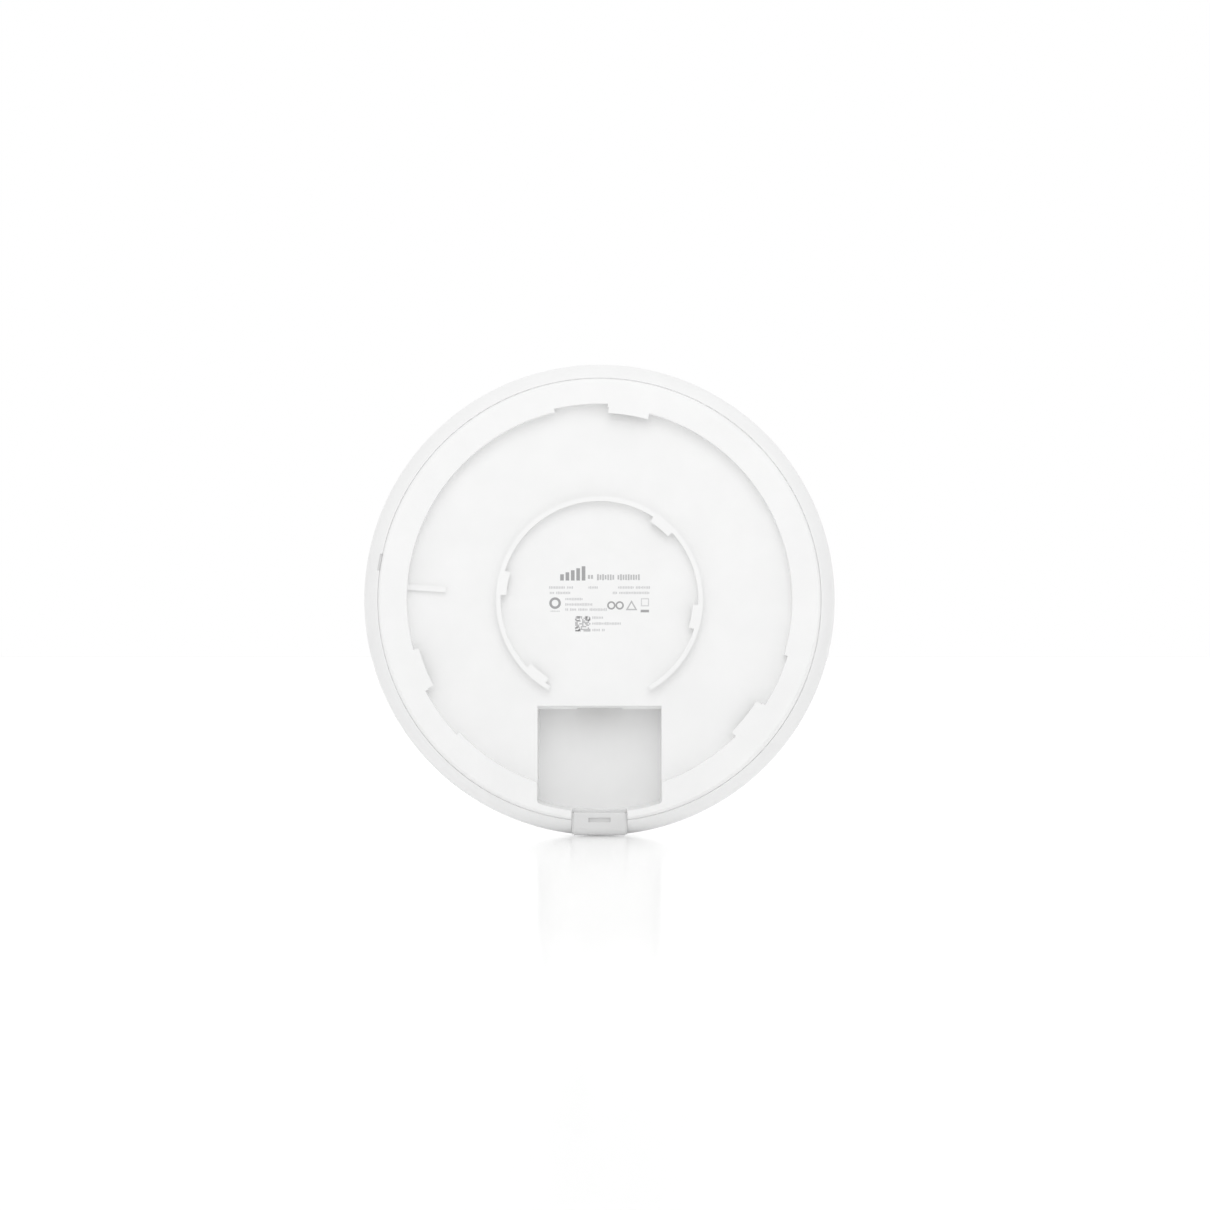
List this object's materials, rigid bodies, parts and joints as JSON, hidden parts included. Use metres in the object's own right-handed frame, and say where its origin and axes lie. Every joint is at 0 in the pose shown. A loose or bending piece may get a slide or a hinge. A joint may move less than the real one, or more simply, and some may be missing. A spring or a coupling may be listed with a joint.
{
  "type": "ceiling access point",
  "caption": "Round wireless access point: white domed housing with a status light ring, a bayonet bracket pocket and a cable bay with network jack at the rear.",
  "frame": {"origin": "centre of the flat rear face, which seats on the ceiling or wall bracket", "axes": "-Y out of the rear face towards the ceiling or wall, +Y towards the middle of the dome, +Z up on a wall with the cable bay at the bottom, +X to the right as seen from behind. For a ceiling, turn -Y up."},
  "size_m": [0.1756, 0.0432, 0.1756],
  "materials": {
    "housing_white": "fine spark-eroded satin moulding",
    "dome_white": "very fine satin moulding",
    "light_diffuser": "milky translucent moulding",
    "clear_guide": "clear acrylic, polished",
    "circuit_board": "solder mask over glass-fibre laminate",
    "chip_black": "moulded epoxy",
    "jack_plastic": "moulded nylon",
    "carrier_white": "natural moulded plastic",
    "pressed_aluminium": "pressed sheet, as rolled",
    "capacitor_sleeve": "drawn can with a plain sleeve",
    "tinned_steel": "tin plate, slightly dull",
    "antenna_metal": "nickel-plated pressed brass",
    "contact_gold": "gold-plated spring wire",
    "thermal_pad": "soft filled silicone",
    "screw_steel": "zinc plated",
    "ferrite_grey": "ground ferrite",
    "led_lens": "phosphor under clear resin"
  },
  "bodies": {
    "housing": {"rear_cover": "housing_white", "front_cover": "dome_white", "centre_cap": "dome_white", "light_ring": "light_diffuser", "light_guide": "clear_guide", "main_board": "circuit_board", "heat_plate": "pressed_aluminium", "plate_spacers": "tinned_steel", "board_screws": "screw_steel", "jack_shell": "tinned_steel", "jack_insert": "jack_plastic", "jack_contacts": "contact_gold", "reset_switch_body": "jack_plastic", "processor_can": "tinned_steel", "radio_can_2g": "tinned_steel", "radio_can_5g": "tinned_steel", "thermal_pads": "thermal_pad", "processor": "chip_black", "memory_chips": "chip_black", "flash_chip": "chip_black", "radio_chip_2g": "chip_black", "radio_chip_5g": "chip_black", "status_leds": "led_lens", "ethernet_magnetics": "chip_black", "supply_transformer": "ferrite_grey", "bridge_rectifiers": "chip_black", "power_inductors": "ferrite_grey", "supply_controller": "chip_black", "crystals": "tinned_steel", "bulk_capacitors": "capacitor_sleeve", "antenna_upper": "antenna_metal", "antenna_left": "antenna_metal", "antenna_right": "antenna_metal", "antenna_carrier_upper": "carrier_white", "antenna_carrier_left": "carrier_white", "antenna_carrier_right": "carrier_white", "antenna_contacts": "contact_gold"},
    "reset_button": {"reset_plunger": "jack_plastic"},
    "exit_cover": {"cable_exit_cover": "housing_white"}
  },
  "joints": [
    {"name": "reset_press", "type": "slide", "parent": "housing", "child": "reset_button", "axis": [0, 0, 1], "range_m": [0, 0.00025], "stiffness_N_per_m": 1500},
    {"name": "exit_cover_pull", "type": "slide", "parent": "housing", "child": "exit_cover", "axis": [0, -1, 0], "range_m": [0, 0.016]}
  ]
}
